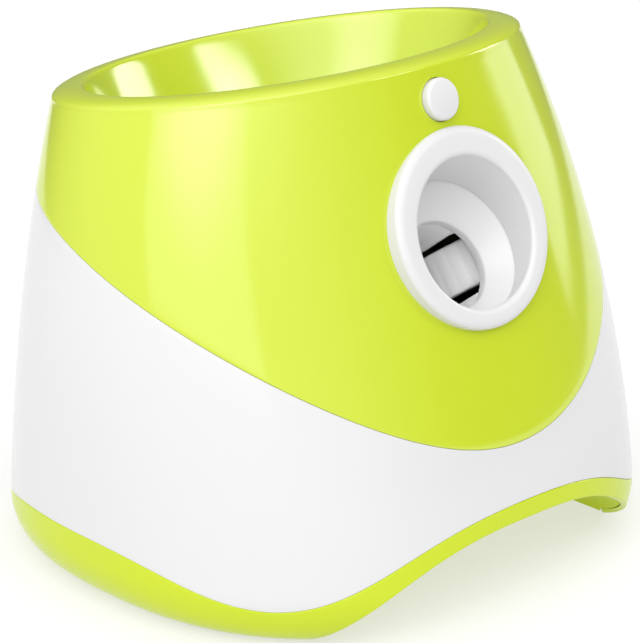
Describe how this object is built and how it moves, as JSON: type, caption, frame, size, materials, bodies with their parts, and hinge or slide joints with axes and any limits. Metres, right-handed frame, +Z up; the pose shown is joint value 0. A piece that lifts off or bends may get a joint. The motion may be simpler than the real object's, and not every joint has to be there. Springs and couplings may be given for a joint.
{
  "type": "automatic dog ball launcher",
  "caption": "Free-standing automatic ball launcher for dogs: open bowl on top, ball outlet with launch wheels at the front, a push button, arched base.",
  "frame": {"origin": "centre of the footprint, on the surface the rubber feet stand on", "axes": "+Z up; -Y is the front, where the ball comes out; +X is to the right of someone who faces the front"},
  "size_m": [0.285, 0.2617, 0.2331],
  "materials": {
    "green_shell": "gloss",
    "white_gloss": "gloss",
    "white_satin": "satin",
    "grey_plastic": "matte",
    "dark_plastic": "matte",
    "rubber": "matte",
    "tyre_rubber": "matte",
    "steel": "brushed",
    "motor_can": "satin",
    "brass": "satin",
    "circuit_board": "satin",
    "cell_can": "satin"
  },
  "bodies": {
    "case": {"upper_shell": "green_shell", "hopper_funnel": "green_shell", "lower_shell": "white_gloss", "base_trim": "green_shell", "base_plate": "green_shell", "rubber_feet": "rubber", "outlet_bezel": "white_gloss", "barrel_nozzle": "white_gloss", "barrel_lower": "white_satin", "barrel_bridge": "white_satin", "bridge_screws": "steel", "launch_motor_left": "motor_can", "launch_motor_right": "motor_can", "motor_screws": "steel", "mechanism_leg_left": "grey_plastic", "mechanism_leg_right": "grey_plastic", "feed_chute": "grey_plastic", "ball_sensor_emitter": "dark_plastic", "ball_sensor_receiver": "dark_plastic", "feed_bracket": "grey_plastic", "feed_bush": "brass", "feed_gearbox": "dark_plastic", "feed_motor": "motor_can", "feed_screws": "steel", "button_guide": "white_satin", "button_board": "circuit_board", "button_switch": "dark_plastic", "button_spring": "steel", "battery_tray": "grey_plastic", "battery_cells": "cell_can", "battery_contacts": "steel", "main_board": "circuit_board", "board_parts": "dark_plastic", "board_screws": "steel", "dc_inlet": "dark_plastic", "case_screws": "steel"},
    "wheel_left": {"wheel_tyre_left": "tyre_rubber", "wheel_hub_left": "dark_plastic", "wheel_shaft_left": "steel"},
    "wheel_right": {"wheel_tyre_right": "tyre_rubber", "wheel_hub_right": "dark_plastic", "wheel_shaft_right": "steel"},
    "feed_rotor": {"feed_rotor": "white_satin", "feed_shaft": "steel"},
    "button": {"button_cap": "white_gloss"},
    "battery_door": {"battery_door": "green_shell"}
  },
  "joints": [
    {"name": "wheel_left_spin", "type": "hinge", "parent": "case", "child": "wheel_left", "pos_m": [-0.047, -0.04955, 0.12274], "axis": [0, 0.6018, 0.7986], "continuous": true},
    {"name": "wheel_right_spin", "type": "hinge", "parent": "case", "child": "wheel_right", "pos_m": [0.047, -0.04955, 0.12274], "axis": [0, 0.6018, 0.7986], "continuous": true},
    {"name": "feed_rotor_spin", "type": "hinge", "parent": "case", "child": "feed_rotor", "pos_m": [0, -0.002, 0.076], "axis": [1, 0, 0], "continuous": true},
    {"name": "button_press", "type": "slide", "parent": "case", "child": "button", "axis": [0, 0.9415, -0.3371], "range_m": [0, 0.0012], "stiffness_N_per_m": 600, "springref_m": -0.0012, "deforming": ["button_spring"]},
    {"name": "battery_door_removal", "type": "slide", "parent": "case", "child": "battery_door", "axis": [0, 0, -1], "range_m": [0, 0.02]}
  ],
  "couplings": [
    {"joint": "wheel_right_spin", "follows": "wheel_left_spin", "ratio": -1}
  ]
}
